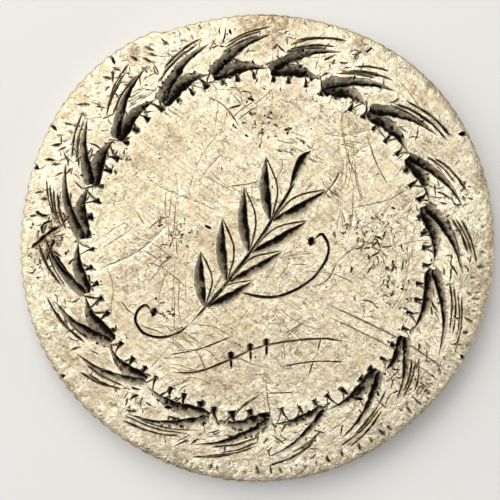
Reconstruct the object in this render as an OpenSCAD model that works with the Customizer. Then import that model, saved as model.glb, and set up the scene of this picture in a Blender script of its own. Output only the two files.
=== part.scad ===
// A keepsake token: a struck silver disc whose front was planed flat and engraved by hand.
// The disc lies on its back rim at z = 0, centred on the Z axis, with the engraved front up.

/* [Disc] */
// Diameter over the reeded edge
token_d = 17.9; // [15:0.1:26]
// Thickness from the back rim to the planed front
token_t = 1.1; // [0.8:0.05:2]
// Width of the worn bevel round the front
front_bevel = 0.16; // [0.05:0.01:0.3]
// Height of the worn bevel round the front
front_bevel_h = 0.1; // [0.03:0.01:0.2]
// Width and height of the bevel round the back rim
back_bevel = 0.08; // [0.03:0.01:0.2]

/* [Edge] */
// Number of reeds round the edge
reed_count = 118; // [60:1:150]
// Depth of the valleys between reeds
reed_depth = 0.07; // [0.03:0.01:0.12]

/* [Back] */
// Width of the flat rim round the back
rim_w = 0.5; // [0.3:0.05:0.8]
// Depth of the back field below the rim
rim_h = 0.12; // [0.06:0.01:0.2]
// Number of denticles inside the back rim
denticle_count = 118; // [60:1:150]
// Length of a denticle, measured inwards from the rim
denticle_l = 0.42; // [0.2:0.02:0.6]
// Height of a denticle above the back field
denticle_h = 0.07; // [0.03:0.01:0.1]
// Distance from the denticles in to the stems of the two struck branches
branch_inset = 2.6; // [1.6:0.1:3.5]
// Leaves on each side of each struck branch
branch_leaves = 7; // [4:1:9]
// Length of a leaf of the struck branches
branch_leaf_l = 1.25; // [0.8:0.05:1.5]
// Width of a leaf of the struck branches
branch_leaf_w = 0.5; // [0.3:0.05:0.7]
// Height of the struck branches above the back field
branch_h = 0.07; // [0.03:0.01:0.1]

/* [Wreath] */
// Number of leaves in the engraved wreath
leaf_count = 19; // [12:1:24]
// Distance from the edge in to the blunt ends of the leaves
leaf_inset = 2.32; // [1.8:0.02:3]
// Width of a leaf's wide inner cut
leaf_w = 0.44; // [0.2:0.02:0.6]
// Depth of a leaf's cuts
leaf_depth = 0.15; // [0.05:0.01:0.2]
// Shading lines outside each leaf
hatch_count = 3; // [1:1:4]
// Width of a shading line
hatch_w = 0.1; // [0.05:0.01:0.15]

/* [Border] */
// Number of teeth in the zigzag border
tooth_count = 63; // [40:1:80]
// How far the crests of the zigzag reach past the blunt ends of the leaves
border_lap = 0.2; // [0:0.02:0.4]
// Radial height of the zigzag
tooth_h = 0.62; // [0.3:0.02:0.8]
// Width of the punched end of a tooth
tooth_w = 0.14; // [0.08:0.01:0.2]
// Width of the line of the zigzag
line_w = 0.07; // [0.04:0.01:0.12]
// Clear ring between the zigzag and what is cut in the middle
panel_gap = 0.5; // [0.3:0.05:1]

/* [Sprig] */
// Leaf pairs on the sprig in the middle
sprig_pairs = 4; // [2:1:6]
// Width of a sprig leaf
sprig_leaf_w = 0.42; // [0.2:0.02:0.6]
// Length of the longest sprig leaf
sprig_leaf_l = 2.5; // [1.5:0.1:3.2]
// Depth of the cuts in the middle
sprig_depth = 0.12; // [0.05:0.01:0.16]

/* [Hidden] */
token_r = token_d / 2;
field_r = token_r - rim_w;
dent_w = 0.5 * 2 * PI * field_r / denticle_count;
branch_r = field_r - denticle_l - branch_inset;
branch_span = 140;
stem_w = 0.16;
// How far a raised or cutting shape runs into or out of the metal beside it
sink = 0.05;
lift = 0.02;
fine_depth = 0.05;
// The first leaf's place, in degrees clockwise from the top
leaf_start = 6;
leaf_step = 360 / leaf_count;
leaf_r = token_r - leaf_inset;
leaf_pitch = 2 * PI * leaf_r / leaf_count;
// A leaf's lengths as shares of the pitch, and its leans outwards in degrees
inner_share = 0.87;
outer_share = 1.2;
hatch_share = 0.62;
inner_lean = -5;
outer_lean = 27;
hatch_lean = 21;
// How far a leaf's cuts start behind its base
heel = 0.12;
hatch_start = [0.1, 0.72];
hatch_shift = [0.1, 0.2];
tooth_step = 360 / tooth_count;
crest_r = leaf_r + border_lap;
tooth_r = crest_r - tooth_h;
// The length of the punched end of a tooth, and where the zigzag's lines meet it
punch_l = 0.4;
foot_r = tooth_r + 0.3;
// What is cut in the middle keeps to this radius, and its points are shares of it
panel_r = tooth_r - panel_gap;
sprig_root = panel_r * [-0.44, -0.51];
sprig_bow = panel_r * [-0.035, -0.12];
sprig_tip = panel_r * [0.33, 0.58];
stem_parts = 5;
// The sprig's leaves point along the stem, each side opened by this many degrees
sprig_heading = 62;
sprig_open = 32;
// Pen strokes under the sprig: tail, head and width of each
flourish = [
    [[-0.59, -0.72], [-0.15, -0.59], 0.07],
    [[-0.55, -0.82], [-0.18, -0.75], 0.1],
    [[-0.22, -0.77], [0.09, -0.65], 0.12],
    [[0.04, -0.66], [0.42, -0.61], 0.1],
    [[0.39, -0.61], [0.61, -0.63], 0.07],
    [[0.17, -0.79], [0.58, -0.76], 0.07],
    [[0.07, -0.965], [0.25, -0.96], 0.07]
];
// Short bars across the pen strokes: upper end, lower end and width
bars = [
    [[-0.167, -0.7], [-0.175, -0.815], 0.2],
    [[-0.045, -0.66], [-0.025, -0.765], 0.2],
    [[0.06, -0.62], [0.07, -0.73], 0.2],
    [[0.425, -0.595], [0.395, -0.69], 0.08],
    [[0.37, -0.745], [0.34, -0.84], 0.08]
];

// A signed share between -1 and 1 that makes hand-cut shapes uneven
function uneven(i, k) = sin(137 * i + 61 * k);

// A point along the bowed stem of the sprig, t from 0 at the root to 1 at the tip
function stem_at(t) =
    (1 - t) * (1 - t) * sprig_root + 2 * t * (1 - t) * sprig_bow + t * t * sprig_tip;

function polar(r, a) = [r * cos(a), r * sin(a)];

// A boat-shaped cut from tail to head in the plane z = 0, widest at the share belly of its length.
// The keel lies under the middle where skew is 0, and towards the left side where it is positive.
module graver_cut(tail, head, width, depth, skew = 0, belly = 0.6) {
    run = head - tail;
    side = [-run.y, run.x] / norm(run);
    middle = tail + belly * run;
    left = middle + side * width / 2;
    right = middle - side * width / 2;
    keel = middle + side * width * skew;
    polyhedron(
        points = [
            [tail.x, tail.y, lift],
            [right.x, right.y, lift],
            [head.x, head.y, lift],
            [left.x, left.y, lift],
            [keel.x, keel.y, -depth]
        ],
        faces = [[0, 3, 2, 1], [0, 1, 4], [1, 2, 4], [2, 3, 4], [3, 0, 4]]
    );
}

// The struck disc with its planed front, before the reeds and the engraving
module blank() {
    rotate_extrude($fn = 180)
        polygon([
            [0, rim_h],
            [field_r, rim_h],
            [field_r, 0],
            [token_r - back_bevel, 0],
            [token_r, back_bevel],
            [token_r, token_t - front_bevel_h],
            [token_r - front_bevel, token_t],
            [0, token_t]
        ]);
}

module reed_valleys() {
    for (i = [0 : reed_count - 1])
        rotate([0, 0, i * 360 / reed_count])
            translate([token_r, 0, -sink])
                cylinder(r = reed_depth, h = token_t + 2 * sink, $fn = 4);
}

module denticles() {
    for (i = [0 : denticle_count - 1])
        rotate([0, 0, i * 360 / denticle_count])
            translate([field_r - denticle_l, -dent_w / 2, rim_h - denticle_h])
                cube([denticle_l + sink, dent_w, denticle_h + sink]);
}

// A pointed leaf outline of length l and width w, from the origin along +X
module leaf_outline(l, w) {
    arc_r = (l * l / 4 + w * w / 4) / w;
    intersection() {
        translate([l / 2, arc_r - w / 2]) circle(r = arc_r, $fn = 96);
        translate([l / 2, w / 2 - arc_r]) circle(r = arc_r, $fn = 96);
    }
}

// One struck branch on the back, from the bottom up one side
module branch() {
    rotate([0, 0, -90])
        rotate_extrude(angle = branch_span, $fn = 120)
            translate([branch_r - stem_w / 2, rim_h - branch_h])
                square([stem_w, branch_h + sink]);
    for (i = [0 : branch_leaves - 1]) {
        along = -90 + branch_span * (i + 0.9) / branch_leaves;
        for (turn = [60, 125])
            rotate([0, 0, along])
                translate([branch_r, 0, rim_h - branch_h])
                    rotate([0, 0, turn])
                        linear_extrude(branch_h + sink)
                            leaf_outline(branch_leaf_l, branch_leaf_w);
    }
}

// One leaf of the wreath: two cuts that open clockwise from a shared blunt end, and shading lines
module wreath_leaf(i) {
    stretch = leaf_pitch * (1 + 0.1 * uneven(i, 1));
    turn = 3 * uneven(i, 2);
    graver_cut([-heel, -heel / 2], polar(inner_share * stretch, inner_lean + turn),
               leaf_w, leaf_depth, skew = -0.38, belly = 0.4);
    graver_cut([-heel, -heel], polar(outer_share * stretch, outer_lean + turn),
               leaf_w * 0.8, leaf_depth, skew = 0.2, belly = 0.35);
    for (k = [0 : hatch_count - 1])
        translate(hatch_start + k * hatch_shift)
            graver_cut([0, 0], polar(hatch_share * stretch, hatch_lean + turn),
                       hatch_w, fine_depth, belly = 0.5);
}

module wreath() {
    for (i = [0 : leaf_count - 1])
        rotate([0, 0, -leaf_start - i * leaf_step + 2 * uneven(i, 3)])
            translate([0, leaf_r])
                wreath_leaf(i);
}

// The zigzag border: a punched end and two slanting lines for each tooth
module border() {
    for (i = [0 : tooth_count - 1]) {
        foot = polar(foot_r, i * tooth_step);
        graver_cut(polar(tooth_r + punch_l, i * tooth_step), polar(tooth_r, i * tooth_step),
                   tooth_w, fine_depth * 2, belly = 0.7);
        for (way = [-0.5, 0.5])
            graver_cut(foot, polar(crest_r, (i + way) * tooth_step), line_w, fine_depth);
    }
}

// The sprig in the middle, with a bowed stem, paired leaves and one at the tip
module sprig() {
    for (i = [0 : stem_parts - 1])
        graver_cut(stem_at(i / stem_parts - 0.03), stem_at((i + 1) / stem_parts + 0.03),
                   0.12, fine_depth, belly = 0.5);
    for (i = [0 : sprig_pairs - 1]) {
        t = 0.12 + 0.74 * i / sprig_pairs;
        foot = stem_at(t);
        grow = sprig_leaf_l * (0.75 + 0.25 * sin(180 * t));
        for (side = [-1, 1])
            graver_cut(foot, foot + polar(grow, sprig_heading + sprig_open * side),
                       sprig_leaf_w, sprig_depth, skew = -0.3 * side, belly = 0.5);
    }
    graver_cut(stem_at(0.84), sprig_tip + [0.15, 0.3], sprig_leaf_w, sprig_depth, skew = 0.3);
}

module pen_strokes() {
    for (s = concat(flourish, bars))
        graver_cut(panel_r * s[0], panel_r * s[1], s[2], fine_depth + s[2] / 4, belly = 0.5);
}

module token() {
    color([0.83, 0.78, 0.67])
        difference() {
            union() {
                blank();
                denticles();
                branch();
                mirror([1, 0, 0]) branch();
            }
            reed_valleys();
            translate([0, 0, token_t]) {
                wreath();
                border();
                sprig();
                pen_strokes();
            }
        }
}

token();
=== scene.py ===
"""A hand-engraved silver token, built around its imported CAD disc.

The front of a struck disc was planed flat and cut with a graver: a wreath of leaves, a zigzag border,
a sprig and a few pen strokes. The edge keeps its reeds, and the back its rim, denticles and branches.
Everything is modelled in millimetres, and to_metres() brings a finished piece to the CAD's scale.
"""

import math
import random

import bmesh
import bpy
from mathutils import Matrix, Vector, kdtree, noise


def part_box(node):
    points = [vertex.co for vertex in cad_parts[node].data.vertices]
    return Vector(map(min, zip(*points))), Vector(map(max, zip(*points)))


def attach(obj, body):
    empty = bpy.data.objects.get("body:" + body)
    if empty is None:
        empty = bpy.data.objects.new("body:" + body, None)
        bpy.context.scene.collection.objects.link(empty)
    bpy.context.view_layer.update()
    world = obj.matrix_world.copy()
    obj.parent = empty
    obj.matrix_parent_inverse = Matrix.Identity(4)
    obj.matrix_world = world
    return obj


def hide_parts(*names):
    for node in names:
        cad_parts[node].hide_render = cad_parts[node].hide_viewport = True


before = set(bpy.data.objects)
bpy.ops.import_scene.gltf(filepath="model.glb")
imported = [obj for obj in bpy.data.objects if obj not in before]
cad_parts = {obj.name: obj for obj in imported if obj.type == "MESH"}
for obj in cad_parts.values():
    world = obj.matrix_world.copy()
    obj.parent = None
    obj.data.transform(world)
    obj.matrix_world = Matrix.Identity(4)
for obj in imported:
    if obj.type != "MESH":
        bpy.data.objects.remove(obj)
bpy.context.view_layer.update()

MM = 0.001

# ---------------------------------------------------------------- sizes, in millimetres

LOW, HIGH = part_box("token")
TOKEN_R = (HIGH.x - LOW.x) / 2 / MM
TOKEN_T = (HIGH.z - LOW.z) / MM

REEDS = 118
COLUMNS = 4 * REEDS            # points round the edge: two on each crest, two in each valley
REED_DEPTH = 0.08
FRONT_BEVEL = 0.11
BACK_BEVEL = 0.08
GRID_R = TOKEN_R - 0.6         # inside this radius the front is a grid of small faces
RIM_W = 0.5
RIM_H = 0.12
FIELD_R = TOKEN_R - RIM_W      # the sunk field inside the back's rim
BACK_RINGS = (7.6, 6.4, 5.4, 4.4, 3.2, 1.8)
DENTICLE_L = 0.42
DENTICLE_H = 0.06
DENTICLE_DRAFT = 0.025         # how far a denticle's sides slope in

PLANED = 0.02                  # how far the planed front lies below its CAD plane
RIM_WORN = 0.03                # how much lower it is worn at the very rim
RIM_WORN_FROM = 7.9            # and from which radius on
OUTLINE_WORN = 0.005           # share of the radius lost all round, so that the lobes stay inside
FILED_STEP = 0.02              # share of the radius filed away near the top

BRANCH_R = 5.4
BRANCH_SWEEP = 140             # degrees from the tie to the branch's tip
LEAF_PAIRS = 9                 # on each of the back's branches
PAIR_START = 8                 # degrees from the tie to the first pair
PAIR_STEP = 15.5               # degrees from one pair to the next
BRANCH_LEAF = (1.35, 0.5, 0.16)      # length, width and height
TIE_LOOPS = ((28, 1.5), (152, 1.5), (-58, 1.2), (-122, 1.2), (0, 0.5))    # turn and length

# where each leaf's base lies, in degrees clockwise from the top: the engraver spaced them by eye
LEAF_CLOCKS = (6, 24, 41, 61, 78, 99, 123, 137, 159, 177, 197, 221, 238, 256, 274, 292, 309, 328, 347)
LEAF_R = 6.62                  # where the leaves start
LEAF_W = 0.44
LEAF_DEPTH = 0.15
INNER_LEAN = -0.38             # how far a cut's keel lies to the right of it, as a share of its width
OUTER_LEAN = -0.34
SLIPS = 12                     # short slips of the tool at each leaf
TEETH = 63                     # round the zigzag border
TOOTH_R = 6.2                  # where their inner points lie
TOOTH_H = 0.62
LINE_DEPTH = 0.05              # of every fine line

SPRIG_ROOT = Vector((-2.5, -2.9))
SPRIG_BOW = Vector((-0.2, -0.7))
SPRIG_TIP = Vector((1.9, 3.3))
SPRIG_DEPTH = 0.12
SPRIG_PAIRS = 4

# out-of-round wear of the outline: lobes round the disc, share of the radius, turn in degrees
LOBES = ((1, 0.003, 80), (2, 0.006, -8), (3, 0.007, 66), (4, 0.006, 152), (5, 0.0045, -84))


# ---------------------------------------------------------------- small tools

def polar(radius, degrees):
    """The point at that distance and angle, counted from +X."""
    a = math.radians(degrees)
    return Vector((radius * math.cos(a), radius * math.sin(a)))


def uneven(i, k):
    """A signed share between -1 and 1 that makes hand-cut shapes uneven."""
    return math.sin(math.radians(137 * i + 61 * k))


def smooth(low, high, x):
    """Rises from 0 at low to 1 at high, with soft ends. With low above high it falls."""
    t = min(1.0, max(0.0, (x - low) / (high - low)))
    return t * t * (3 - 2 * t)


def outline_share(degrees):
    """The worn radius at that angle, as a share of the true one, with a filed step near the top."""
    share = 1 - OUTLINE_WORN + sum(k * math.cos(math.radians(n * degrees - turn))
                                   for n, k, turn in LOBES)
    step = smooth(115.5, 113.5, degrees % 360) * smooth(84, 112, degrees % 360)
    return share - FILED_STEP * step


def front_height(x, y):
    """The planed front's height over its CAD plane: waves left by the file, and wear at the rim."""
    p = Vector((x, y, 0))
    waves = (0.016 * noise.noise(p * 0.45) + 0.007 * noise.noise(p * 1.4 + Vector((5, 2, 8)))
             + 0.003 * noise.noise(p * 3.6 + Vector((1, 7, 3))))
    return waves - PLANED - RIM_WORN * smooth(RIM_WORN_FROM, TOKEN_R, p.length)


def take(obj):
    """Selects that object alone and makes it the active one."""
    bpy.ops.object.select_all(action="DESELECT")
    obj.select_set(True)
    bpy.context.view_layer.objects.active = obj


def edit(obj):
    """Enters edit mode on that object alone, with nothing selected in its mesh."""
    take(obj)
    bpy.ops.object.mode_set(mode="EDIT")
    bpy.ops.mesh.select_mode(type="VERT")
    bpy.ops.mesh.select_all(action="DESELECT")
    return bmesh.from_edit_mesh(obj.data)


def done():
    """Leaves edit mode."""
    bpy.ops.object.mode_set(mode="OBJECT")


def choose(mesh, kind, test):
    """Selects the vertices, edges or faces that pass the test, in edit mode, and nothing else."""
    bpy.ops.mesh.select_mode(type={"verts": "VERT", "edges": "EDGE", "faces": "FACE"}[kind])
    bpy.ops.mesh.select_all(action="DESELECT")
    for part in getattr(mesh, kind):
        if test(part):
            part.select_set(True)
    mesh.select_flush_mode()


def combine(obj, tools, operation):
    """Cuts every tool out of the object, or grows it by them, and removes the tools."""
    group = bpy.data.collections.new("tools")
    bpy.context.scene.collection.children.link(group)
    for tool in tools:
        for old in list(tool.users_collection):
            old.objects.unlink(tool)
        group.objects.link(tool)
    modifier = obj.modifiers.new("combine", "BOOLEAN")
    modifier.operation = operation
    modifier.operand_type = "COLLECTION"
    modifier.collection = group
    modifier.solver = "MANIFOLD"
    take(obj)
    bpy.ops.object.modifier_apply(modifier=modifier.name)
    for tool in tools:
        bpy.data.meshes.remove(tool.data)
    bpy.data.collections.remove(group)


def to_metres(obj):
    """Brings a piece made in millimetres to the CAD's scale."""
    obj.data.transform(Matrix.Scale(MM, 4))


# ---------------------------------------------------------------- the struck disc

def walk_loop(steps, at):
    """Extrudes the selected loop through (radius, height) steps and leaves the last one selected."""
    radius, height = at
    for new_radius, new_height in steps:
        bpy.ops.mesh.extrude_region_move(
            TRANSFORM_OT_translate={"value": (0, 0, new_height - height)})
        share = new_radius / radius
        bpy.ops.transform.resize(value=(share, share, 1), center_override=(0, 0, new_height))
        radius, height = new_radius, new_height


def halve_loop(mesh, radius, height):
    """Joins the points of that open loop in pairs, and leaves it selected."""
    def every_other(edge):
        c = (edge.verts[0].co + edge.verts[1].co) / 2
        on_loop = abs(c.xy.length - radius) < 0.01 and abs(c.z - height) < 0.01
        return on_loop and edge.is_boundary and column_of(c.x, c.y, 0.5) % 2 == 0
    choose(mesh, "edges", every_other)
    bpy.ops.mesh.merge(type="COLLAPSE")
    choose(mesh, "edges", lambda e: e.is_boundary and abs(e.verts[0].co.z - height) < 0.01)


def struck_disc():
    """The disc as struck and planed: reeded side, worn bevels, a raised back rim and gridded faces."""
    bpy.ops.mesh.primitive_circle_add(vertices=COLUMNS, radius=TOKEN_R, location=(0, 0, BACK_BEVEL))
    disc = bpy.context.object
    disc.name = "engraved_token"
    bpy.ops.object.transform_apply(location=True)
    mesh = edit(disc)
    start = (TOKEN_R, BACK_BEVEL)

    bpy.ops.mesh.select_all(action="SELECT")
    walk_loop([
        (TOKEN_R, TOKEN_T / 2),
        (TOKEN_R, TOKEN_T - 0.1),
        (TOKEN_R - 0.02, TOKEN_T - 0.05),
        (TOKEN_R - 0.06, TOKEN_T - 0.015),
        (TOKEN_R - FRONT_BEVEL, TOKEN_T),
        (TOKEN_R - 0.35, TOKEN_T),
        (GRID_R, TOKEN_T),
    ], start)
    halve_loop(mesh, GRID_R, TOKEN_T)
    bpy.ops.mesh.fill_grid(span=REEDS // 2, offset=0)

    choose(mesh, "edges", lambda e: e.is_boundary)
    walk_loop([
        (TOKEN_R - 0.03, 0.03),
        (TOKEN_R - BACK_BEVEL, 0),
        (FIELD_R + 0.1, 0),
        (FIELD_R, RIM_H),
        (FIELD_R - DENTICLE_L, RIM_H),
        *[(radius, RIM_H) for radius in BACK_RINGS],
    ], start)
    bpy.ops.mesh.edge_face_add()

    bpy.ops.mesh.select_all(action="SELECT")
    bpy.ops.mesh.normals_make_consistent(inside=False)
    strike_denticles(mesh)
    done()
    wear_disc(disc)
    return disc


def column_of(x, y, past=0.0):
    """Which column of points lies there, or with past=0.5 which gap between two columns."""
    return round(math.degrees(math.atan2(y, x)) * COLUMNS / 360 - past) % COLUMNS


def strike_denticles(mesh):
    """Raises every other pair of faces in the ring inside the back rim."""
    def in_ring(face):
        c = face.calc_center_median()
        on_ring = FIELD_R - DENTICLE_L < c.xy.length < FIELD_R and abs(c.z - RIM_H) < 0.01
        return on_ring and column_of(c.x, c.y, 0.5) % 4 in (0, 1)
    choose(mesh, "faces", in_ring)
    bpy.ops.mesh.inset(thickness=DENTICLE_DRAFT, depth=DENTICLE_H)


def wear_disc(disc):
    """Cuts the reeds' valleys, and takes the outline and both faces out of true, as wear does.

    The valleys are shallower towards the front, where the rim is rubbed, and most of all on the right.
    """
    for v in disc.data.vertices:
        x, y, z = v.co
        radius, degrees = v.co.xy.length, math.degrees(math.atan2(y, x))
        edge = smooth(TOKEN_R - 0.12, TOKEN_R - 0.02, radius)
        share = 1 + (outline_share(degrees) - 1) * smooth(7.2, TOKEN_R, radius)
        if column_of(x, y) % 4 in (2, 3):
            kept = 1 + 0.4 * noise.noise(Vector((x, y, 4)) * 0.5)
            rubbed = smooth(TOKEN_T - 0.3, TOKEN_T - 0.05, z) * (0.45 + 0.35 * smooth(-8, 2, x))
            share -= edge * kept * (1 - rubbed) * REED_DEPTH / TOKEN_R
        v.co.x, v.co.y = x * share, y * share
        if z > TOKEN_T - 0.2:
            v.co.z += front_height(v.co.x, v.co.y)
        elif z > RIM_H - DENTICLE_H - 0.02 and radius < FIELD_R + 0.01:
            v.co.z += 0.01 * noise.noise(Vector((x, y, 30)) * 0.8)


# ---------------------------------------------------------------- the back's struck branches

def leaf_bump():
    """One worn leaf in low relief, 1 long and 1 wide, pointed along +X, from a half-sunk ball."""
    bpy.ops.mesh.primitive_uv_sphere_add(segments=20, ring_count=10, radius=0.5,
                                         rotation=(0, math.pi / 2, 0))
    leaf = bpy.context.object
    bpy.ops.object.transform_apply(rotation=True)
    for v in leaf.data.vertices:
        along = abs(v.co.x) * 2
        v.co.y *= 1 - 0.45 * along * along
        v.co.z *= 1 - 0.3 * along - 0.35 * math.exp(-(v.co.y * 14) ** 2)
    return leaf


def placed(master, scale, turn, at):
    """A copy of the master with its own mesh, scaled, turned about Z by degrees and moved."""
    copy = master.copy()
    copy.data = master.data.copy()
    bpy.context.scene.collection.objects.link(copy)
    matrix = (Matrix.Translation(at) @ Matrix.Rotation(math.radians(turn), 4, "Z")
              @ Matrix.Diagonal((*scale, 1)))
    copy.data.transform(matrix)
    return copy


def branch_stem(side):
    """A thin stem round one side of the back, spun from a small ring."""
    bpy.ops.mesh.primitive_circle_add(vertices=8, radius=0.07, fill_type="NGON",
                                      location=(0, -BRANCH_R, RIM_H + 0.02),
                                      rotation=(0, math.pi / 2, 0))
    stem = bpy.context.object
    bpy.ops.object.transform_apply(location=True, rotation=True)
    edit(stem)
    bpy.ops.mesh.select_all(action="SELECT")
    bpy.ops.mesh.spin(steps=44, angle=math.radians(BRANCH_SWEEP * side), center=(0, 0, 0),
                      axis=(0, 0, 1))
    bpy.ops.mesh.select_all(action="SELECT")
    bpy.ops.mesh.remove_doubles(threshold=0.0005)
    bpy.ops.mesh.normals_make_consistent(inside=False)
    done()
    return stem


def back_relief(disc):
    """Two leafy branches and their tie, struck in low relief and worn."""
    master = leaf_bump()
    tools = []
    for side in (-1, 1):
        tools.append(branch_stem(side))
        for i in range(LEAF_PAIRS):
            along = -90 + side * (PAIR_START + PAIR_STEP * i)
            foot = polar(BRANCH_R, along).to_3d()
            for lean in (-34, 34):
                turn = along + side * 90 + lean
                middle = foot + polar(0.72, turn).to_3d()
                middle.z = RIM_H
                tools.append(placed(master, BRANCH_LEAF, turn, middle))
    for turn, length in TIE_LOOPS:
        middle = Vector((0, -BRANCH_R, RIM_H)) + polar(length / 2, turn).to_3d()
        tools.append(placed(master, (length, 0.42, 0.2), turn, middle))
    bpy.data.objects.remove(master)
    combine(disc, tools, "UNION")


# ---------------------------------------------------------------- the graver

def graver_bar(stations, fine):
    """A bar along +X with that many stations: square with a line where its sides flare, or a fine V."""
    if fine:
        bpy.ops.mesh.primitive_cylinder_add(vertices=3, radius=1, depth=1, location=(0.5, 0, 0),
                                            rotation=(-math.pi / 2, 0, math.pi / 2))
    else:
        bpy.ops.mesh.primitive_cube_add(size=1, location=(0.5, 0, 0))
    bar = bpy.context.object
    bpy.ops.object.transform_apply(location=True, rotation=True)
    mesh = edit(bar)
    choose(mesh, "edges", lambda e: abs(e.verts[0].co.x - e.verts[1].co.x) > 0.5)
    bpy.ops.mesh.subdivide(number_cuts=stations - 2)
    if not fine:
        choose(mesh, "edges", lambda e: abs(e.verts[0].co.z - e.verts[1].co.z) > 0.5)
        bpy.ops.mesh.subdivide(number_cuts=1)
    done()
    return bar


def blade_profile(t):
    """Blunt and broadest near the start, and narrow at the tip."""
    return smooth(-0.1, 0.1, t) * (1 - 0.92 * smooth(0.3, 1.04, t))


def leaf_profile(t):
    """Pointed at both ends and broadest a little before the middle."""
    return math.sin(math.pi * t ** 0.85)


def tail_profile(t):
    """Broadest at the start, with a long tail."""
    return smooth(-0.1, 0.1, t) * (1 - t) ** 0.75


def line_profile(t):
    """Even, with short tapers at both ends."""
    return smooth(-0.04, 0.16, t) * smooth(1.04, 0.84, t)


def wedge_profile(t):
    """A line that swells towards its end and stops short there, as a rocked graver leaves it."""
    return 0.32 + 0.68 * smooth(0.4, 0.92, t)


def path_point(points, t):
    """A point on the smooth curve through the points, t from 0 to 1."""
    spans = len(points) - 1
    i = min(int(t * spans), spans - 1)
    u = t * spans - i
    a, b = points[i], points[i + 1]
    before = points[i - 1] if i else a * 2 - b
    after = points[i + 2] if i + 2 <= spans else b * 2 - a
    return 0.5 * (2 * a + (b - before) * u + (2 * before - 5 * a + 4 * b - after) * u * u
                  + (3 * a - before - 3 * b + after) * u ** 3)


class Graver:
    """Makes cutters, each a copy of a bar that is bent along its stroke and shaped to its cut.

    It also remembers how dark each low point of a cut is painted, where 0 is bare metal: grime with
    painted shade, and below 0 a painted highlight.
    """

    LIP = 0.03          # depth of the worn lip of a cut
    FLARE = 0.1         # how far the lip opens outwards
    FLAT = 0.12         # half the keel's width, as a share of the cut's
    CLEAR = 0.06        # how far a cutter stands above the front
    SKIM = 0.02         # the same for a fine V cutter, whose sides run straight up from its keel
    BLACK = 0.04        # a keel this deep is painted black: dirt and painted shade
    SHADED = 0.4        # how dark the lip on the keel's side is
    LIT = 0.12          # and the lip on the other side
    CHIP = (0.04, 0.09)

    def __init__(self, seed):
        self.bars = {}
        self.cutters = []
        self.dirt_and_light_points = []       # points low in the cuts, each with its painted darkness: dirt and painted shade, and below 0 a painted highlight
        self.rng = random.Random(seed)
        bpy.ops.mesh.primitive_ico_sphere_add(subdivisions=1, radius=1)
        self.ball = bpy.context.object

    def copy_of(self, master):
        """Adds a cutter that starts as a copy of the master, and gives its points."""
        cutter = master.copy()
        cutter.data = master.data.copy()
        self.cutters.append(cutter)
        return cutter.data.vertices

    def stroke(self, points, width, depth, profile=line_profile, lean=0.0, stations=10, rough=0.06,
               fine=False, dirt_and_painted_light=1.0):
        """One cut through the points. A lean above 0 puts its keel to the left of the stroke."""
        # the last setting scales how dark the cut's low points are painted with dirt and shade; below 0
        # it paints them bright as a highlight
        if (stations, fine) not in self.bars:
            self.bars[stations, fine] = graver_bar(stations, fine)
        points = [Vector(p) for p in points]
        shake = [self.rng.uniform(-rough, rough) for _ in range(3 * stations)]
        for v in self.copy_of(self.bars[stations, fine]):
            t, side, level = v.co.x, math.copysign(1, v.co.y), v.co.z
            at = path_point(points, t)
            run = path_point(points, min(1, t + 0.02)) - path_point(points, max(0, t - 0.02))
            across = Vector((-run.y, run.x)).normalized()
            station = round(t * (stations - 1)) * 3
            share = max(0.02, profile(t))
            half = width / 2 * share * (1 + shake[station + (side > 0)])
            deep = depth * share ** 0.8 * (1 + 0.5 * shake[station + 2])
            if level > 0.25 and fine:
                spot = at + across * side * half * (1 + self.SKIM / max(deep, 0.004))
                height = self.SKIM
            elif level > 0.25:
                spot = at + across * side * (half + min(self.FLARE, 0.35 * width * share + 0.01))
                height = self.CLEAR
            elif level > -0.25:
                spot = at + across * side * half
                height = -min(self.LIP, deep * 0.35)
                dark = self.SHADED if side * lean >= 0 else self.LIT
            else:
                spot = at + across * half * (2 * lean + (0 if fine else side * self.FLAT))
                height = -deep
                # the keel is painted darker the deeper it lies: dirt and painted shade
                dark = min(1, (deep / self.BLACK) ** 1.5)
            v.co = (spot.x, spot.y, TOKEN_T + front_height(spot.x, spot.y) + height)
            if level < 0.25:
                self.dirt_and_light_points.append((v.co.copy(), dark * dirt_and_painted_light))

    def line(self, points, width, depth, stations=5, rough=0.06, dirt_and_painted_light=1.0):
        """A fine V-shaped line."""
        self.stroke(points, width, depth, line_profile, stations=stations, rough=rough, fine=True,
                    dirt_and_painted_light=dirt_and_painted_light)

    def pit(self, at, size, depth, sunk=0.0):
        """A small ragged hole, its middle that far below the front."""
        turn = Matrix.Rotation(self.rng.uniform(0, math.pi), 3, "Z")
        long, dark = self.rng.uniform(0.6, 3.0), self.rng.uniform(0.4, 0.95)
        middle = Vector((at.x, at.y, TOKEN_T + front_height(at.x, at.y) - sunk))
        for v in self.copy_of(self.ball):
            ragged = v.co * self.rng.uniform(0.4, 1.4)
            v.co = middle + turn @ Vector((ragged.x * size * long, ragged.y * size, ragged.z * depth))
            if ragged.z < 0:
                self.dirt_and_light_points.append((v.co.copy(), dark))

    def chatter(self, points, width, depth, number, end=0.85):
        """Chips where the tool skipped: in the floor of a cut and along its lips."""
        points = [Vector(p) for p in points]
        for _ in range(number):
            t = self.rng.uniform(0.02, end)
            at, ahead = path_point(points, t), path_point(points, t + 0.02)
            aside = self.rng.choice((-0.52, 0.0, 0.52)) * self.rng.uniform(0.8, 1.1) * (1 - 0.6 * t)
            across = Vector((at.y - ahead.y, ahead.x - at.x)).normalized() * aside * width
            sunk = depth * max(0, 1 - 2 * abs(aside)) * self.rng.uniform(0.3, 1)
            size = self.rng.uniform(*self.CHIP)
            self.pit(at + across, size, size * self.rng.uniform(0.6, 1.1), sunk)

    def engrave(self, disc):
        """Takes all the cutters out of the disc at once."""
        combine(disc, self.cutters, "DIFFERENCE")
        for master in (self.ball, *self.bars.values()):
            bpy.data.objects.remove(master)


# ---------------------------------------------------------------- what the graver cuts

def ring_point(radius, clock):
    """A point on the front at that radius, clock degrees clockwise from the top."""
    return polar(radius, 90 - clock)


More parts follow.
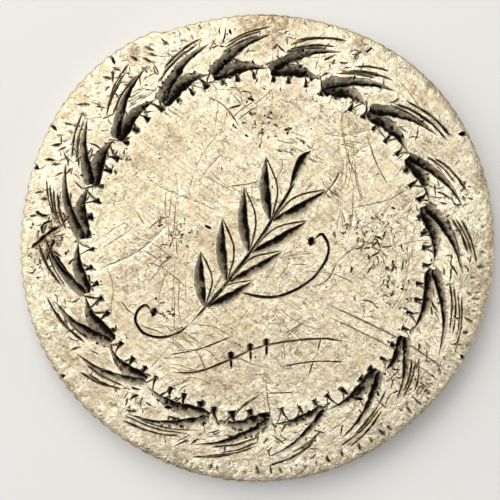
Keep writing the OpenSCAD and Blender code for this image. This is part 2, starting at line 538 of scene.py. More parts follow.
def cut_wreath(graver):
    """Leaves that open clockwise: a broad inner cut, a curved outer one and shading lines outside.

    The cuts at the top and the bottom are torn, and those at the sides are clean.
    """
    rng = graver.rng
    for i, clock in enumerate(LEAF_CLOCKS):
        gap = (LEAF_CLOCKS[(i + 1) % len(LEAF_CLOCKS)] - clock) % 360
        out = LEAF_R + 0.09 * uneven(i, 2)
        width = LEAF_W * (1 + 0.14 * uneven(i, 4) + 0.12 * math.cos(math.radians(clock + 20)))
        inner = [ring_point(out - 0.12, clock - 1.5), ring_point(LEAF_R + 0.12, clock + 0.45 * gap),
                 ring_point(LEAF_R + 0.06, clock + 0.88 * gap)]
        torn = math.cos(math.radians(clock)) ** 2
        rough = 0.1 + 0.15 * torn
        graver.stroke(inner, width, LEAF_DEPTH, blade_profile, lean=INNER_LEAN, stations=22, rough=rough)
        graver.chatter(inner, width, LEAF_DEPTH, round(3 + 15 * torn))
        reach = gap * (1.0 + 0.12 * uneven(i, 6))
        outer = [ring_point(out - 0.02, clock - 1.6), ring_point(out + 0.42, clock + 0.22 * reach),
                 ring_point(out + 0.92, clock + 0.6 * reach), ring_point(out + 1.28, clock + reach)]
        graver.stroke(outer, 0.95 * width, LEAF_DEPTH, tail_profile, lean=OUTER_LEAN, stations=26,
                      rough=rough)
        graver.chatter(outer, 0.8 * width, LEAF_DEPTH, round(2 + 12 * torn), end=0.6)
        for _ in range(SLIPS):
            slip = ring_point(out + rng.uniform(-0.35, 1.1), clock + rng.uniform(-3, 0.8 * gap))
            along = 90 - clock + rng.gauss(-60, 45)
            graver.line([slip, slip + polar(rng.uniform(0.12, 0.3), along),
                         slip + polar(rng.uniform(0.3, 0.65), along + rng.uniform(-25, 25))],
                        rng.uniform(0.04, 0.11), rng.uniform(0.02, 0.07), stations=5, rough=0.4)
        low = out + 0.6
        for k in range(rng.choice((3, 3, 4, 4))):
            start = clock + 1.5 + 1.2 * k + rng.uniform(-1.2, 1.2)
            span = rng.uniform(0.5, 0.8) * gap
            graver.line([ring_point(low, start), ring_point(low + 0.34, start + 0.5 * span),
                         ring_point(low + 0.58, start + span)], rng.uniform(0.08, 0.13),
                        rng.uniform(0.9, 1.4) * LINE_DEPTH, stations=9, rough=0.35)
            low += rng.uniform(0.15, 0.21)


def cut_border(graver):
    """A zigzag round the middle: a line that swells to a punched end, and a thin one back.

    It is bolder on the left, where the tool was pressed harder.
    """
    rng = graver.rng
    step = 360 / TEETH
    for i in range(TEETH):
        clock = (i + rng.uniform(-0.12, 0.12)) * step
        bold = smooth(215, 250, clock) * smooth(345, 320, clock)
        reach = TOOTH_R + rng.uniform(-0.1, 0.06) - 0.06 * bold
        strength = (0.9 + 0.5 * noise.noise(ring_point(2.2, clock).to_3d())) * rng.uniform(0.75, 1.2)
        foot = ring_point(reach, clock)
        elbow = ring_point(reach + 0.3, clock - 0.14 * step)
        graver.stroke([ring_point(TOOTH_R + TOOTH_H, clock - 0.5 * step), elbow, foot],
                      0.24 * strength, LINE_DEPTH * 2 * strength, wedge_profile, stations=9, rough=0.35)
        graver.line([ring_point(reach + 0.1, clock), ring_point(reach + 0.36, clock + 0.16 * step),
                     ring_point(TOOTH_R + TOOTH_H, clock + 0.5 * step)],
                    0.08 + 0.05 * bold, LINE_DEPTH * strength, stations=7, rough=0.35)
        for _ in range(2):
            size = rng.uniform(0.03, 0.06)
            graver.pit(foot + polar(rng.uniform(0, 0.12), rng.uniform(0, 360)), size, size)


def stem_at(t):
    """A point on the sprig's bowed stem, t from 0 at its root to 1 at its tip."""
    return (1 - t) ** 2 * SPRIG_ROOT + 2 * t * (1 - t) * SPRIG_BOW + t * t * SPRIG_TIP


# the tendrils that curl from the sprig's root and from low on its stem
TENDRILS = (
    (SPRIG_ROOT, (-2.95, -3.25), (-3.6, -3.42), (-4.3, -3.2), (-4.55, -2.65), (-4.2, -2.2),
     (-3.85, -2.5)),
    (stem_at(0.28), (0.2, -1.9), (1.2, -1.75), (2.2, -1.1), (2.7, -0.2), (2.45, 0.45), (2.05, 0.15)),
)


def cut_sprig(graver):
    """A bowed stem with paired leaves, each a shaded cut with a hairline for its other edge."""
    graver.stroke([stem_at(t / 6) for t in range(7)], 0.13, LINE_DEPTH, line_profile, stations=22,
                  rough=0.2)
    for i in range(SPRIG_PAIRS):
        t = 0.12 + 0.185 * i
        foot = stem_at(t)
        grow = 2.6 * (0.75 + 0.25 * math.sin(math.pi * t))
        for side in (-1, 1):
            tip = foot + polar(grow, 62 + 32 * side)
            middle = foot.lerp(tip, 0.5)
            out = polar(0.24, 62 + 122 * side)
            shaded = [foot, middle + out * 0.5, tip]
            graver.stroke(shaded, 0.36, SPRIG_DEPTH, leaf_profile, lean=-0.34 * side, stations=18,
                          rough=0.14)
            graver.line([foot, middle - out * 1.5, tip], 0.08, LINE_DEPTH, stations=12, rough=0.3)
    for points in TENDRILS:
        graver.stroke(points, 0.1, LINE_DEPTH * 1.1, line_profile, stations=24, rough=0.25)
        end = Vector(points[-1])
        graver.stroke([end + Vector((0.05, 0.22)), end - Vector((0.05, 0.16))], 0.28, 0.1, leaf_profile,
                      stations=8, rough=0.2)
    graver.stroke([stem_at(0.84), SPRIG_TIP + Vector((-0.2, -0.1)), SPRIG_TIP + Vector((0.15, 0.3))],
                  0.32, SPRIG_DEPTH, leaf_profile, lean=0.3, stations=12, rough=0.14)


# the flourish under the sprig: points along each stroke and its width
PEN_STROKES = (
    (((-3.35, -4.08), (-2.1, -3.83), (-0.85, -3.34)), 0.06),
    (((-3.2, -4.72), (-2.2, -4.7), (-1.0, -4.25), (0.3, -3.72), (2.3, -3.46), (3.5, -3.6)), 0.1),
    (((0.95, -4.5), (2.1, -4.32), (3.3, -4.32)), 0.06),
    (((0.4, -5.5), (1.4, -5.48)), 0.05),
    (((0.12, -5.55), (-0.5, -6.0), (-0.9, -6.4)), 0.06),
)
BARS = ((-0.97, -4.08), (-0.24, -3.78), (0.36, -3.6))     # where punched bars cross it


def cut_pen_strokes(graver):
    """The flourish under the sprig, with its short bars."""
    for points, width in PEN_STROKES:
        graver.line(points, width, LINE_DEPTH, stations=20, rough=0.3)
    for x, y in BARS:
        graver.stroke([(x, y + 0.16), (x + 0.02, y - 0.16)], 0.22, 0.09, line_profile, stations=6)
        graver.stroke([(x, y - 0.05), (x + 0.02, y - 0.52)], 0.09, LINE_DEPTH, line_profile, stations=5)
    for start, end in (((2.42, -3.4), (2.27, -3.95)), ((2.12, -4.27), (1.95, -4.85))):
        graver.line([start, end], 0.06, LINE_DEPTH)


# scratches seen at a glance: points along each, width and depth
SCRATCHES = (
    (((-5.2, 3.5), (-4.5, 3.0), (-3.6, 2.2), (-1.4, 1.3)), 0.12, 0.028),
    (((-5.9, -0.9), (-4.4, -0.2), (-3.2, 0.9)), 0.14, 0.03),
    (((-4.4, 4.2), (-3.1, 2.9), (-2.9, 1.6)), 0.12, 0.024),
    (((-1.1, 4.6), (-2.1, 3.3), (-2.6, 1.8)), 0.05, 0.014),
    (((-1.9, 5.6), (-1.4, 5.4), (-1.0, 5.0), (-0.6, 4.4)), 0.06, 0.03),
    (((-0.9, 6.4), (-0.7, 5.9), (-0.2, 5.3)), 0.13, 0.02),
    (((-4.1, 0.6), (-3.6, 1.0), (-3.2, 1.1)), 0.07, 0.03),
    (((-5.8, -0.1), (-4.6, 0.7)), 0.05, 0.02),
    (((-6.2, 0.1), (-4.9, 0.9)), 0.05, 0.014),
    (((-4.5, 1.3), (-4.2, 0.8)), 0.06, 0.03),
    (((0.5, 6.1), (0.6, 5.4), (0.2, 4.5), (-0.1, 3.7)), 0.05, 0.016),
    (((2.5, 4.2), (3.3, 4.1), (4.4, 4.4)), 0.14, 0.018),
    (((3.3, 2.9), (3.9, 3.6), (4.8, 4.0)), 0.12, 0.016),
    (((3.1, 2.8), (2.9, 2.4), (2.4, 1.8)), 0.08, 0.04),
    (((3.5, 1.4), (4.4, 1.6), (5.1, 1.8), (6.1, 2.4)), 0.07, 0.022),
    (((5.3, 1.2), (5.9, 1.8), (6.4, 2.2)), 0.06, 0.016),
    (((-4.1, -4.7), (-3.2, -3.7)), 0.05, 0.02),
    (((-5.1, -2.0), (-4.8, -2.4), (-4.5, -2.6)), 0.06, 0.03),
    (((-4.9, -0.8), (-4.8, -1.9)), 0.05, 0.012),
    (((-4.5, -0.7), (-4.3, -2.0)), 0.06, 0.012),
    (((2.4, -2.3), (5.1, -3.6), (7.3, -5.1)), 0.26, 0.016),
    (((2.5, -2.1), (5.3, -3.45), (7.4, -4.85)), 0.08, 0.03),
    (((2.3, -2.45), (5.0, -3.78), (7.1, -5.25)), 0.06, 0.026),
    (((5.8, -0.2), (5.5, -1.6), (5.0, -2.5)), 0.07, 0.018),
    (((3.9, -2.0), (4.3, -2.1), (4.6, -2.4)), 0.07, 0.035),
    (((-1.3, -6.6), (-0.3, -5.8), (0.1, -5.6)), 0.07, 0.035),
    (((0.9, -3.4), (1.8, -2.8)), 0.05, 0.03),
    (((1.1, -3.4), (1.9, -2.7)), 0.05, 0.03),
    (((1.2, -3.6), (1.7, -2.9)), 0.05, 0.02),
    (((2.3, -1.5), (2.7, -1.2), (3.0, -0.6)), 0.07, 0.035),
)

# the torn spot at the left rim: points along each tear, width and depth
TEARS = (
    (((-8.45, -0.1), (-8.1, 0.2), (-7.75, 0.5), (-7.3, 0.72)), 0.17, 0.08),
    (((-8.0, 0.45), (-7.98, 0.8), (-7.6, 0.95)), 0.12, 0.06),
    (((-8.3, 1.3), (-8.0, 1.12), (-7.75, 1.15)), 0.14, 0.06),
    (((-7.6, 0.3), (-7.75, -0.1), (-7.95, -0.6)), 0.16, 0.05),
    (((-7.6, -0.3), (-7.25, -0.8), (-6.85, -1.25)), 0.14, 0.07),
)

# patches where slips of the tool cross each other: middle, spread and number of slips
TORN = (
    ((-7.6, 0.4), 0.7, 22), ((-4.6, 6.2), 1.0, 16), ((1.2, 7.3), 1.0, 14), ((7.4, -0.9), 0.9, 16),
    ((5.9, -5.0), 0.9, 16), ((-4.2, -6.4), 0.9, 12), ((4.6, -0.3), 1.1, 22), ((-6.9, 3.2), 0.8, 14),
    ((3.0, 6.6), 0.8, 10), ((-1.5, 6.6), 0.9, 12), ((2.2, -7.4), 1.2, 14),
)

# patches where the metal is pitted: middle, spread and number of pits
PITTED = (
    ((0.3, 4.6), 1.1, 40), ((4.4, 0.4), 1.3, 60), ((5.3, -1.6), 0.9, 36), ((-2.9, 0.4), 1.0, 30),
    ((-7.6, 0.6), 0.7, 46), ((-8.1, -0.6), 0.5, 24), ((3.9, 7.4), 0.5, 24), ((6.3, -4.9), 0.9, 34),
    ((-5.3, 3.4), 0.8, 22), ((-3.4, -2.6), 0.7, 18), ((-1.0, 7.6), 0.8, 22), ((7.6, 1.5), 0.8, 30),
)


BUNDLES = 110         # groups of parallel scratches
WORN_R = 8.6          # scratches and pits stay inside this radius
LONE_PITS = 240
BROAD = 0.09          # scratches wider than this are painted bright: rubbed clean, with a painted highlight
# how the scratches' low points are painted: below 0 bright with a painted highlight, above 0 dark with
# dirt and painted shade
BROAD_RUB_AND_HIGHLIGHT = -1.2
NARROW_DIRT_AND_SHADE = 0.8


def wear_front(graver):
    """Scratches, tears, slips of the tool and pits from a century of handling."""
    rng = graver.rng
    for points, width, depth in SCRATCHES:
        dirt_and_painted_light = BROAD_RUB_AND_HIGHLIGHT if width > BROAD else NARROW_DIRT_AND_SHADE
        graver.line(points, width, depth, stations=16, rough=0.4, dirt_and_painted_light=dirt_and_painted_light)
    for points, width, depth in TEARS:
        graver.stroke(points, width, depth, line_profile, lean=0.3, stations=14, rough=0.5)
    for _ in range(BUNDLES):
        middle = polar(8.2 * math.sqrt(rng.random()), rng.uniform(0, 360))
        turn, length = rng.uniform(0, 360), rng.choice((0.4, 0.8, 1.4, 2.6)) * rng.uniform(0.7, 1.2)
        bend = rng.uniform(-0.12, 0.12)
        for _ in range(rng.choice((1, 1, 2, 3, 5, 8))):
            start = (middle + polar(rng.gauss(0, 0.25 * length), turn)
                     + polar(rng.gauss(0, 0.22), turn + 90))
            run = polar(length * rng.uniform(0.5, 1.1), turn + rng.gauss(0, 5))
            bow = Vector((-run.y, run.x)) * (bend + rng.uniform(-0.04, 0.04))
            if start.length < WORN_R and (start + run).length < WORN_R:
                graver.line([start, start + run / 2 + bow, start + run], rng.uniform(0.03, 0.06),
                            rng.uniform(0.01, 0.026), stations=6, rough=0.5)
    for middle, spread, number in TORN:
        for _ in range(number):
            start = Vector(middle) + Vector((rng.gauss(0, spread / 2), rng.gauss(0, spread / 2)))
            along = math.degrees(math.atan2(start.y, start.x)) - 90
            run = polar(rng.uniform(0.12, 0.6), along + rng.gauss(0, 45))
            if start.length < 8.3:
                kink = polar(0.05, along + rng.uniform(0, 180))
                graver.line([start, start + run / 2 + kink, start + run],
                            rng.uniform(0.05, 0.12), rng.uniform(0.02, 0.06), rough=0.5)
    for middle, spread, number in PITTED:
        for _ in range(number):
            at = Vector(middle) + Vector((rng.gauss(0, spread / 2), rng.gauss(0, spread / 2)))
            if at.length < WORN_R:
                size = rng.choice((0.02, 0.03, 0.045, 0.07)) * rng.uniform(0.8, 1.2)
                graver.pit(at, size, size * rng.uniform(0.4, 0.9))
                run = polar(rng.uniform(0.08, 0.3), rng.uniform(0, 360))
                if rng.random() < 0.5:
                    graver.line([at, at + run / 2 + polar(0.04, rng.uniform(0, 360)), at + run],
                                rng.uniform(0.05, 0.12), rng.uniform(0.02, 0.05), stations=4, rough=0.6)
    for _ in range(LONE_PITS):
        size = rng.uniform(0.015, 0.04)
        graver.pit(polar(WORN_R * math.sqrt(rng.random()), rng.uniform(0, 360)), size,
                   size * rng.uniform(0.4, 0.9))


# rows of dents round the front's rim: radius, and their strength on the right, the left and all round
TICK_ROWS = ((8.62, 0.9, 0.9, 0.5), (8.3, 0.5, 1.1, 0.3), (8.0, 0, 1.1, 0), (7.75, 0, 0.8, 0))
FAINTEST_TICK = 0.25


def worn_edge_ticks(graver):
    """What is left of the struck denticles round the front: short shallow dents."""
    rng = graver.rng
    for row, (radius, on_right, on_left, around) in enumerate(TICK_ROWS):
        for i in range(REEDS):
            clock = (i + 0.5 * row + rng.uniform(-0.3, 0.3)) * 360 / REEDS
            right = smooth(70, 100, clock) * smooth(205, 180, clock)
            left = smooth(268, 285, clock) * smooth(352, 335, clock)
            strength = on_right * right + on_left * left + around
            strength *= rng.uniform(0.3, 1.2)
            if strength > FAINTEST_TICK:
                tilt = rng.uniform(-1, 1) + 1.6 * left
                end = ring_point(radius - 0.3 * strength, clock + tilt)
                graver.line([ring_point(radius, clock), end], 0.07 + 0.07 * strength,
                            0.032 * strength, stations=4, rough=0.5, dirt_and_painted_light=0.9)


# notches in the rim of the front: where each lies, its width and depth
NOTCHES = (
    (289.5, 0.16, 0.3), (300, 0.1, 0.1), (18, 0.12, 0.12), (61, 0.16, 0.14), (118, 0.12, 0.12),
    (202, 0.1, 0.1), (236, 0.14, 0.12), (322, 0.1, 0.1),
)
NOTCH_PATH = ((9.1, 0), (8.9, 0.5), (8.62, 0))      # each point's radius, and degrees past the notch's


def nick_edge(graver):
    """Notches knocked into the rim of the front."""
    for clock, width, depth in NOTCHES:
        graver.stroke([ring_point(radius, clock + past) for radius, past in NOTCH_PATH],
                      width, depth, line_profile, stations=6, rough=0.2)


# ---------------------------------------------------------------- tarnish, painted shade and highlights, and stains

SAME_POINT = 0.0005    # a point of the disc this near a cutter's point was made by it
FRESH = 0.013          # cuts no deeper than this are painted bright, as a highlight
BURR = 0.09            # and so is the metal this close beside a cut
BURR_HIGHLIGHT = -0.48   # painted highlight: below 0 the metal is painted brighter than elsewhere
# the same painted highlight, weaker, inside the zigzag border
FIELD_BURR_HIGHLIGHT = -0.22
CUT_DIRT_AND_SHADE = 0.7      # the darkest the walls of a cut are painted: dirt and painted shade
# dirt and painted shade in the reeds' valleys
VALLEY_DIRT_AND_SHADE = 0.55
BACK_TARNISH = 0.4

# brown stains on the front: middle, how far they reach and how strong they are
STAINS = (
    ((-7.9, 0.0), 0.6, 1.0), ((-7.2, 1.6), 0.5, 0.5), ((3.9, 7.5), 0.3, 1.0), ((-4.5, 7.1), 0.4, 0.8),
    ((-4.9, -1.3), 0.6, 0.5), ((-3.5, -0.3), 0.6, 0.35), ((8.2, -1.2), 0.5, 0.6), ((0.6, 5.1), 0.7, 0.4),
    ((6.0, -1.6), 0.7, 0.4), ((0.5, 8.5), 1.2, 0.7), ((5.9, -5.2), 0.6, 0.4), ((-5.6, 3.9), 0.6, 0.35),
)


def store(obj, name, amount_at):
    """Stores a number on each point of the mesh for the material to read."""
    attribute = obj.data.attributes.new(name, "FLOAT", "POINT")
    for v, value in zip(obj.data.vertices, attribute.data):
        value.value = amount_at(*v.co)


def dirt_and_light_finder(dirt_and_light_points):
    """Makes a look-up for the cutters' low points: how dark the nearest is, and how far away."""
    tree = kdtree.KDTree(len(dirt_and_light_points))
    for i, (at, _) in enumerate(dirt_and_light_points):
        tree.insert(at, i)
    tree.balance()

    def find(at):
        _, i, distance = tree.find(at)
        return dirt_and_light_points[i][1], distance
    return find


def tarnish_shade_and_sheen_at(x, y, z, find):
    """How dark a point is painted: grime and painted shade in the cuts and the reeds' valleys, below 0 a
    painted highlight beside the cuts, and patina on the back's field.
    """
    inside = outline_share(math.degrees(math.atan2(y, x))) * TOKEN_R - math.hypot(x, y)
    if z > TOKEN_T / 2 and inside > FRONT_BEVEL + 0.03:
        dark, distance = find((x, y, z))
        if distance < SAME_POINT:
            return dark
        deep = TOKEN_T + front_height(x, y) - z
        # a painted highlight on shallow lips and on the metal beside the cuts
        if deep < FRESH and distance < BURR:
            return BURR_HIGHLIGHT if math.hypot(x, y) > TOOTH_R - 0.2 else FIELD_BURR_HIGHLIGHT
        # dirt and painted shade, darker the deeper the point lies
        return CUT_DIRT_AND_SHADE * (1 - math.exp(-max(0, deep - FRESH) / 0.045))
    if inside < FRONT_BEVEL + 0.03:
        # dirt and painted shade in the reeds' valleys
        return VALLEY_DIRT_AND_SHADE * smooth(0.01, 0.06, inside) if 0.1 < z < TOKEN_T - 0.25 else 0
    return BACK_TARNISH * smooth(RIM_H - DENTICLE_H, RIM_H, z) if inside > RIM_W - 0.05 else 0


def stain_at(x, y, z):
    """How brown the front is at a point."""
    if z < TOKEN_T / 2:
        return 0
    return max(strength * math.exp(-((x - at[0]) ** 2 + (y - at[1]) ** 2) / reach ** 2)
               for at, reach, strength in STAINS)


CREASE = 26            # degrees: edges sharper than this stay crisp


def engraved_token():
    """The whole token: struck, engraved, worn and tarnished, with painted shade and highlights."""
    disc = struck_disc()
    back_relief(disc)
    graver = Graver(seed=19)
    cut_wreath(graver)
    cut_border(graver)
    cut_sprig(graver)
    cut_pen_strokes(graver)
    wear_front(graver)
    worn_edge_ticks(graver)
    nick_edge(graver)
    graver.engrave(disc)
    find = dirt_and_light_finder(graver.dirt_and_light_points)
    store(disc, "tarnish_shade_and_sheen", lambda x, y, z: tarnish_shade_and_sheen_at(x, y, z, find))
    store(disc, "stain", stain_at)
    to_metres(disc)
    take(disc)
    bpy.ops.object.shade_smooth_by_angle(angle=math.radians(CREASE))
    return disc


# ---------------------------------------------------------------- the metal

def node(tree, kind, inputs=(), **settings):
    """A shader node with its settings, and its inputs by name, each a value or a socket to link."""
    made = tree.nodes.new(kind)
    for name, value in settings.items():
        setattr(made, name, value)
    for name, value in dict(inputs).items():
        if isinstance(value, bpy.types.NodeSocket):
            tree.links.new(value, made.inputs[name])
        else:
            made.inputs[name].default_value = value
    return made


def ramp(tree, source, *stops):
    """A colour ramp through (position, colour) stops, with a plain number standing for a grey."""
    made = node(tree, "ShaderNodeValToRGB", {"Fac": source})
    elements = made.color_ramp.elements
    while len(elements) < len(stops):
        elements.new(0.5)
    for element, (position, colour) in zip(elements, stops):
        element.position = position
        element.color = (*colour, 1) if isinstance(colour, tuple) else (colour, colour, colour, 1)
    return made.outputs["Color"]


def blend(tree, kind, factor, a, b):
    """Mixes two colours."""
    made = node(tree, "ShaderNodeMix", data_type="RGBA", blend_type=kind)
    for name, value in ((0, factor), (6, a), (7, b)):
        if isinstance(value, bpy.types.NodeSocket):
            tree.links.new(value, made.inputs[name])
        else:
            made.inputs[name].default_value = (*value, 1) if isinstance(value, tuple) else value
    return made.outputs[2]


def maths(tree, kind, a, b):
    """One sum on two numbers."""
    made = node(tree, "ShaderNodeMath", {0: a, 1: b}, operation=kind)
    return made.outputs[0]


def vector_maths(tree, kind, a, b):
    """One sum on two vectors."""
    made = node(tree, "ShaderNodeVectorMath", {0: a, 1: b}, operation=kind)
    return made.outputs["Vector"]


def shade_noise(tree, place, scale, detail=5.0, roughness=0.65, output="Fac"):
    """Soft noise that repeats about scale times a millimetre."""
    return node(tree, "ShaderNodeTexNoise", {"Vector": place, "Scale": scale, "Detail": detail,
                                             "Roughness": roughness}).outputs[output]


def hairlines(tree, place, turn, crowd):
    """A field of fine scratches that run one way, as 1 in a scratch and 0 outside."""
    along = node(tree, "ShaderNodeMapping", {"Vector": place, "Rotation": (0, 0, math.radians(turn)),
                                             "Scale": (3.4, 0.16, 1)}, vector_type="TEXTURE")
    lines = node(tree, "ShaderNodeTexNoise", {"Vector": along.outputs["Vector"], "Scale": 1.0,
                                              "Detail": 2.0, "Roughness": 0.6, "Distortion": 0.25})
    return ramp(tree, lines.outputs["Fac"], (crowd, 0.0), (crowd + 0.025, 1.0), (crowd + 0.05, 0.0))


def scuffs(tree, place, size, width, crowd):
    """Short crooked marks that wander about, as 1 in a mark and 0 outside."""
    drift = shade_noise(tree, place, 1.1 / size, 2.0, 0.6, "Color")
    drift = vector_maths(tree, "SUBTRACT", drift, (0.5, 0.5, 0.5))
    drift = vector_maths(tree, "MULTIPLY", drift, (size, size, size))
    spot = vector_maths(tree, "ADD", place, drift)
    cells = node(tree, "ShaderNodeTexVoronoi", {"Vector": spot, "Scale": 1 / size},
                 feature="DISTANCE_TO_EDGE")
    marks = ramp(tree, cells.outputs["Distance"], (0.0, 1.0), (width / size, 0.0))
    kept = ramp(tree, shade_noise(tree, place, 0.8 / size, 2.0), (crowd, 0.0), (crowd + 0.06, 1.0))
    return maths(tree, "MULTIPLY", marks, kept)


def strongest(tree, fields):
    """The highest of several fields."""
    top = fields[0]
    for field in fields[1:]:
        top = maths(tree, "MAXIMUM", top, field)
    return top


# colours of the worn silver, with its painted shade and highlights
PATINA = (0.4, 0.3, 0.17)
WARM = (0.62, 0.52, 0.34)
CLEAN = (0.74, 0.65, 0.46)
# painted highlight beside the cuts and along broad scratches, on rubbed metal
RUBBED_AND_HIGHLIGHT = (1.0, 0.93, 0.76)
# bright scratches and scuffs: clean metal with a painted highlight
BRIGHT_LINE = (0.99, 0.95, 0.84)
BRIGHT_SCUFF = (1.0, 0.97, 0.88)
DULL_LINE = (0.3, 0.22, 0.12)
DULL_SCUFF = (0.2, 0.14, 0.08)
SPECK = (0.16, 0.11, 0.07)
BROWN = (0.2, 0.1, 0.04)
# dirt in the cuts, near black in the deep keels as painted shade
THIN_DIRT_AND_SHADE = (0.05, 0.04, 0.03)
THICK_DIRT_AND_SHADE = (0.006, 0.005, 0.004)
DIRT_ROUGHNESS = 0.55
BUMP_HEIGHT = 0.00002    # metres


def silver():
    """Worn silver: a warm patina, handling marks, brown stains, grime with painted shade in the cuts,
    bright burrs painted as highlights, and bright scratches partly painted as highlights.
    """
    material = bpy.data.materials.new("worn_silver")
    material.use_nodes = True
    tree = material.node_tree
    shader = tree.nodes["Principled BSDF"]
    shader.inputs["Metallic"].default_value = 1.0
    metres = node(tree, "ShaderNodeTexCoord").outputs["Object"]
    place = node(tree, "ShaderNodeMapping", {"Vector": metres, "Scale": (1 / MM, 1 / MM, 1 / MM)})
    place = place.outputs["Vector"]

    clouds = shade_noise(tree, place, 0.45, 9.0, 0.68)
    mottle = shade_noise(tree, place, 5.0, 5.0, 0.75)
    specks = node(tree, "ShaderNodeTexVoronoi", {"Vector": place, "Scale": 3.2, "Randomness": 1.0})
    spots = ramp(tree, specks.outputs["Distance"], (0.1, 1.0), (0.19, 0.0))
    spots = maths(tree, "MULTIPLY", spots, ramp(tree, clouds, (0.4, 1.0), (0.5, 0.15)))
    dark_lines = strongest(tree, [hairlines(tree, place, turn, crowd)
                                  for turn, crowd in ((27, 0.5), (-38, 0.53), (78, 0.47))])
    # bright scratches: clean metal with a painted highlight
    light_lines = strongest(tree, [hairlines(tree, place, turn, crowd)
                                   for turn, crowd in ((-8, 0.55), (118, 0.45), (52, 0.57))])
    dark_scuffs = strongest(tree, [scuffs(tree, place, size, width, crowd)
                                   for size, width, crowd in ((0.42, 0.03, 0.54), (0.23, 0.024, 0.56))])
    # bright scuffs: clean metal with a painted highlight
    light_scuffs = scuffs(tree, place, 0.31, 0.035, 0.54)
    handled = ramp(tree, shade_noise(tree, place, 0.6, 3.0), (0.44, 0.15), (0.58, 1.0))
    dark_scuffs = maths(tree, "MULTIPLY", dark_scuffs, handled)
    light_scuffs = maths(tree, "MULTIPLY", light_scuffs, handled)

    base = ramp(tree, clouds, (0.32, PATINA), (0.43, WARM), (0.54, CLEAN))
    base = blend(tree, "MULTIPLY", 1.0, base, ramp(tree, mottle, (0.3, 0.6), (0.46, 0.93), (0.62, 1.0)))
    base = blend(tree, "MIX", maths(tree, "MULTIPLY", dark_lines, 0.25), base, DULL_LINE)
    # bright lines and scuffs mixed in: clean metal with a painted highlight
    base = blend(tree, "MIX", maths(tree, "MULTIPLY", light_lines, 0.4), base, BRIGHT_LINE)
    base = blend(tree, "MIX", maths(tree, "MULTIPLY", light_scuffs, 0.75), base, BRIGHT_SCUFF)
    base = blend(tree, "MIX", maths(tree, "MULTIPLY", dark_scuffs, 0.65), base, DULL_SCUFF)
    base = blend(tree, "MIX", maths(tree, "MULTIPLY", spots, 0.75), base, SPECK)

    stain = node(tree, "ShaderNodeAttribute", attribute_name="stain").outputs["Fac"]
    stain = maths(tree, "MULTIPLY", stain, ramp(tree, mottle, (0.4, 1.0), (0.6, 0.3)))

    tarnish_shade_and_sheen = node(tree, "ShaderNodeAttribute", attribute_name="tarnish_shade_and_sheen").outputs["Fac"]
    patchy = maths(tree, "SUBTRACT", shade_noise(tree, place, 2.4, 5.0, 0.7), 0.5)
    patchy = maths(tree, "MULTIPLY", patchy, 2.2)
    tarnish_shade_and_sheen = maths(tree, "ADD", tarnish_shade_and_sheen, maths(tree, "MULTIPLY", patchy, tarnish_shade_and_sheen))
    # where the stored value is below 0, a painted highlight lifts the colour towards a bright tint
    base = blend(tree, "MIX", maths(tree, "MULTIPLY", tarnish_shade_and_sheen, -1.2), base, RUBBED_AND_HIGHLIGHT)
    base = blend(tree, "MIX", stain, base, BROWN)
    # dirt with painted shade, near black in the deepest keels
    dirt_and_painted_light = ramp(tree, tarnish_shade_and_sheen, (0.06, 0.0), (0.3, 0.5), (0.5, 0.7), (0.72, 0.97), (0.9, 1.0))
    dirt_and_shade_colour = ramp(tree, tarnish_shade_and_sheen, (0.55, THIN_DIRT_AND_SHADE), (0.8, THICK_DIRT_AND_SHADE))
    base = blend(tree, "MIX", dirt_and_painted_light, base, dirt_and_shade_colour)
    tree.links.new(base, shader.inputs["Base Color"])

    rough = ramp(tree, mottle, (0.3, 0.4), (0.6, 0.25))
    rough = blend(tree, "MIX", tarnish_shade_and_sheen, rough, (DIRT_ROUGHNESS, DIRT_ROUGHNESS, DIRT_ROUGHNESS))
    tree.links.new(rough, shader.inputs["Roughness"])

    height = maths(tree, "MULTIPLY", shade_noise(tree, place, 1.8, 3.0), 3.0)
    height = maths(tree, "ADD", height, maths(tree, "MULTIPLY", shade_noise(tree, place, 7.0), 0.8))
    for field, share in ((dark_lines, 0.26), (light_lines, 0.16), (dark_scuffs, 0.6),
                         (light_scuffs, -0.45), (spots, 0.5)):
        height = maths(tree, "SUBTRACT", height, maths(tree, "MULTIPLY", field, share))
    bump = node(tree, "ShaderNodeBump", {"Height": height, "Strength": 1.0, "Distance": BUMP_HEIGHT})
    tree.links.new(bump.outputs["Normal"], shader.inputs["Normal"])
    return material


# ---------------------------------------------------------------- floor, lights and camera

FLOOR_COLOUR = (0.78, 0.79, 0.8, 1)
AIR_COLOUR = (0.18, 0.18, 0.19, 1)

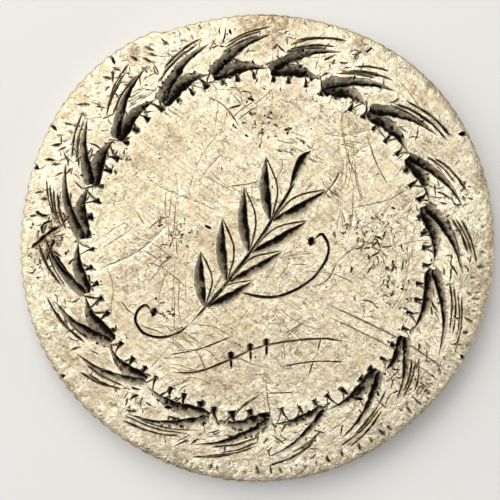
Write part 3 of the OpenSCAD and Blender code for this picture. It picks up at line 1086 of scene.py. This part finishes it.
# the lamps: name, power in watts, size and place in metres, and colour
LAMPS = (
    ("overhead", 0.215, 0.2, (-0.02, 0.035, 0.2), (1, 0.97, 0.9)),
    ("key", 0.18, 0.12, (-0.03, 0.17, 0.14), (1, 0.96, 0.88)),
    ("left", 0.25, 0.2, (-0.18, 0.04, 0.12), (1, 0.97, 0.9)),
    ("right", 0.06, 0.12, (0.2, -0.03, 0.07), (1, 0.97, 0.92)),
)


def area_light(name, energy, size, at, colour):
    """A soft square lamp turned to the middle of the scene."""
    data = bpy.data.lights.new(name, "AREA")
    data.energy, data.size, data.color = energy, size, colour
    light = bpy.data.objects.new(name, data)
    light.location = at
    light.rotation_euler = (Vector((0, 0, 0)) - light.location).to_track_quat("-Z", "Y").to_euler()
    bpy.context.scene.collection.objects.link(light)


def studio():
    """A pale floor, soft air light and the lamps."""
    bpy.ops.mesh.primitive_plane_add(size=2)
    floor = bpy.context.object
    floor.name = "floor"
    paper = bpy.data.materials.new("pale_floor")
    paper.use_nodes = True
    shader = paper.node_tree.nodes["Principled BSDF"]
    shader.inputs["Base Color"].default_value = FLOOR_COLOUR
    shader.inputs["Roughness"].default_value = 0.9
    floor.data.materials.append(paper)
    world = bpy.data.worlds.new("studio")
    world.use_nodes = True
    world.node_tree.nodes["Background"].inputs["Color"].default_value = AIR_COLOUR
    bpy.context.scene.world = world
    for lamp in LAMPS:
        area_light(*lamp)


LENS = 90                # focal length in millimetres
SEEN_W = 18.71           # how much the camera takes in, across
SEEN_AT = (-0.25, -0.14)


def camera():
    """Straight down on the front, as one looks at a token on a table."""
    data = bpy.data.cameras.new("camera")
    data.lens = LENS
    seen = SEEN_W * MM
    height = seen * data.lens / data.sensor_width
    data.clip_start, data.clip_end = 0.001, 10
    eye = bpy.data.objects.new("camera", data)
    eye.location = (SEEN_AT[0] * MM, SEEN_AT[1] * MM, TOKEN_T * MM + height)
    bpy.context.scene.collection.objects.link(eye)
    bpy.context.scene.camera = eye


camera()
studio()
token = engraved_token()
token.data.materials.clear()
token.data.materials.append(silver())
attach(token, "root")
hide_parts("token")
bpy.context.scene.view_settings.view_transform = "Standard"
